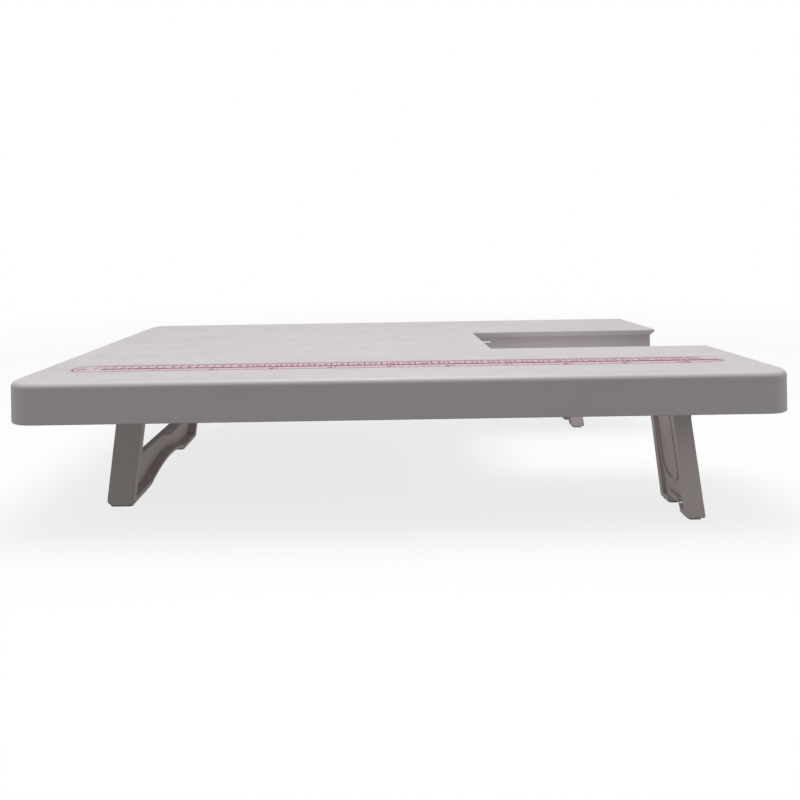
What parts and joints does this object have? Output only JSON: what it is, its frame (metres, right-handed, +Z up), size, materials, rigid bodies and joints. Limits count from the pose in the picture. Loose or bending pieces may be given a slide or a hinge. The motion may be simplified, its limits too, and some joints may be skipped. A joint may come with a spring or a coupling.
{
  "type": "sewing machine extension table",
  "caption": "Low moulded extension table with a free-arm notch at one end, a printed ruler along the front and fold-out legs hinged under the top.",
  "frame": {"origin": "on the floor, under the centre of the tabletop's footprint", "axes": "+X to the right, towards the end with the free-arm notch; +Y to the rear, away from the edge with the ruler; +Z up"},
  "size_m": [0.425, 0.28, 0.0845],
  "materials": {
    "top_plastic": "satin white moulded ABS with a very fine texture",
    "leg_plastic": "satin off-white moulded ABS",
    "cap_plastic": "satin off-white moulded ABS",
    "ruler_film": "satin clear-coated white print film",
    "pin_steel": "bright drawn steel",
    "screw_steel": "zinc-plated steel",
    "pad_rubber": "matt grey rubber"
  },
  "bodies": {
    "table": {"left_front_hinge_cap": "cap_plastic", "left_front_hinge_pin": "pin_steel", "left_hinge_screws": "screw_steel", "left_rear_hinge_cap": "cap_plastic", "left_rear_hinge_pin": "pin_steel", "right_front_leg_front_hinge_cap": "cap_plastic", "right_front_leg_hinge_pin": "pin_steel", "right_front_leg_hinge_screws": "screw_steel", "right_front_leg_rear_hinge_cap": "cap_plastic", "right_rear_leg_front_hinge_cap": "cap_plastic", "right_rear_leg_hinge_pin": "pin_steel", "right_rear_leg_hinge_screws": "screw_steel", "right_rear_leg_rear_hinge_cap": "cap_plastic", "ruler_strip": "ruler_film", "tabletop": "top_plastic"},
    "left_leg": {"left_leg": "leg_plastic", "left_foot_pads": "pad_rubber"},
    "right_front_leg": {"right_front_leg": "leg_plastic", "right_front_foot_pads": "pad_rubber"},
    "right_rear_leg": {"right_rear_leg": "leg_plastic", "right_rear_foot_pads": "pad_rubber"}
  },
  "joints": [
    {"name": "left_leg_fold", "type": "hinge", "parent": "table", "child": "left_leg", "pos_m": [-0.1583, 0, 0.072], "axis": [0, -1, 0], "range_deg": [0, 97]},
    {"name": "right_front_leg_fold", "type": "hinge", "parent": "table", "child": "right_front_leg", "pos_m": [0.1553, -0.1025, 0.072], "axis": [0, 1, 0], "range_deg": [0, 97]},
    {"name": "right_rear_leg_fold", "type": "hinge", "parent": "table", "child": "right_rear_leg", "pos_m": [0.1484, 0.1025, 0.072], "axis": [0, 1, 0], "range_deg": [0, 97]}
  ]
}
